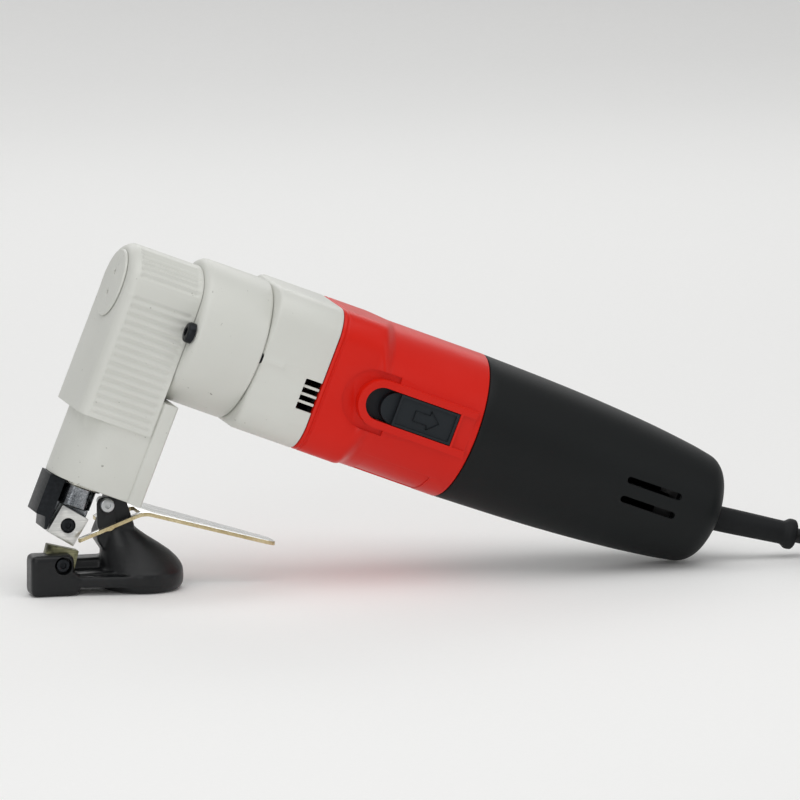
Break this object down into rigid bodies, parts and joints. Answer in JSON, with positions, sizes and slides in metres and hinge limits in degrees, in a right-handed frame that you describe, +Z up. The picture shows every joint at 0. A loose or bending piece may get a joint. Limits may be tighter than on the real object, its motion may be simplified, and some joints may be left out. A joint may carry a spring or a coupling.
{
  "type": "electric sheet-metal shear",
  "caption": "Handheld electric sheet-metal shear: angled gear head, reciprocating upper blade, fixed lower blade on a C-shaped foot, guard plate, slide switch, mains cord.",
  "frame": {"origin": "on the ground under the middle of the tool's box without its cord", "axes": "+Z up, +X along the tool towards its cord, +Y away from the side with the slide switch; the tool rests on its foot and on the tail of its rear cover, so the motor axis points 21.4 degrees down towards +X"},
  "size_m": [0.4757, 0.1229, 0.1641],
  "materials": {
    "grey_paint": "light grey painted die casting",
    "red_plastic": "red moulded nylon",
    "black_plastic": "black moulded nylon",
    "slider_plastic": "black textured plastic",
    "black_rubber": "black rubber",
    "blackened_steel": "blackened steel",
    "foot_enamel": "black enamelled casting",
    "ground_steel": "ground tool steel",
    "worn_steel": "oiled tool steel",
    "polished_steel": "polished steel",
    "gear_steel": "machined steel",
    "bronze": "sintered bronze",
    "copper": "turned copper",
    "laminated_steel": "varnished laminations",
    "carbon": "pressed carbon",
    "zinc_steel": "zinc plated steel"
  },
  "bodies": {
    "housing": {"head_housing": "grey_paint", "head_front_cap": "grey_paint", "crank_front_bearing": "gear_steel", "crank_rear_bearing": "gear_steel", "layshaft_front_bush": "bronze", "layshaft_rear_bush": "bronze", "ram_bush": "bronze", "front_guide": "blackened_steel", "mounting_ring": "grey_paint", "gear_case": "grey_paint", "case_screw_near": "blackened_steel", "case_screw_far": "blackened_steel", "head_screw_near": "zinc_steel", "head_screw_far": "zinc_steel", "armature_front_bearing": "gear_steel", "armature_rear_bearing": "gear_steel", "fan_baffle": "black_plastic", "field_core": "laminated_steel", "brush_holder_top": "bronze", "carbon_brush_top": "carbon", "brush_holder_bottom": "bronze", "carbon_brush_bottom": "carbon", "motor_housing": "red_plastic", "switch_module": "black_plastic", "rear_cover": "black_plastic", "rear_cover_screw": "blackened_steel", "cord_clamp": "black_plastic", "inner_lead": "black_rubber", "cord_guard": "black_rubber", "yoke": "foot_enamel", "yoke_clamp_screw": "blackened_steel", "lower_blade": "worn_steel", "lower_blade_screw": "blackened_steel", "guard_plate": "polished_steel", "guard_plate_screw": "zinc_steel", "cord_lead": "black_rubber", "cord_coil": "black_rubber", "plug_body": "black_plastic", "plug_pin_1": "zinc_steel", "plug_pin_2": "zinc_steel"},
    "armature": {"armature_shaft": "gear_steel", "armature_core": "laminated_steel", "commutator": "copper", "cooling_fan": "black_plastic"},
    "layshaft": {"layshaft": "gear_steel", "layshaft_gear": "gear_steel"},
    "crank": {"crank_shaft": "gear_steel", "crank_gear": "gear_steel", "eccentric_roller": "gear_steel"},
    "ram": {"ram": "polished_steel", "upper_blade": "ground_steel", "upper_blade_screw": "blackened_steel"},
    "switch": {"switch_slider": "slider_plastic", "switch_rod": "black_plastic"}
  },
  "joints": [
    {"name": "armature_spin", "type": "hinge", "parent": "housing", "child": "armature", "pos_m": [-0.12917, 0.0008, 0.1294], "axis": [0.9311, 0, -0.3649], "continuous": true},
    {"name": "layshaft_spin", "type": "hinge", "parent": "housing", "child": "layshaft", "pos_m": [-0.10708, 0.0008, 0.10356], "axis": [0.9311, 0, -0.3649], "continuous": true},
    {"name": "crank_spin", "type": "hinge", "parent": "housing", "child": "crank", "pos_m": [-0.12589, 0.0008, 0.13778], "axis": [0.9311, 0, -0.3649], "continuous": true},
    {"name": "ram_stroke", "type": "slide", "parent": "housing", "child": "ram", "axis": [-0.3649, 0, -0.9311], "range_m": [0, 0.005]},
    {"name": "switch_slide", "type": "slide", "parent": "housing", "child": "switch", "axis": [-0.9311, 0, 0.3649], "range_m": [0, 0.008]}
  ],
  "couplings": [
    {"joint": "layshaft_spin", "follows": "armature_spin", "ratio": -0.33333},
    {"joint": "crank_spin", "follows": "armature_spin", "ratio": 0.10526}
  ]
}
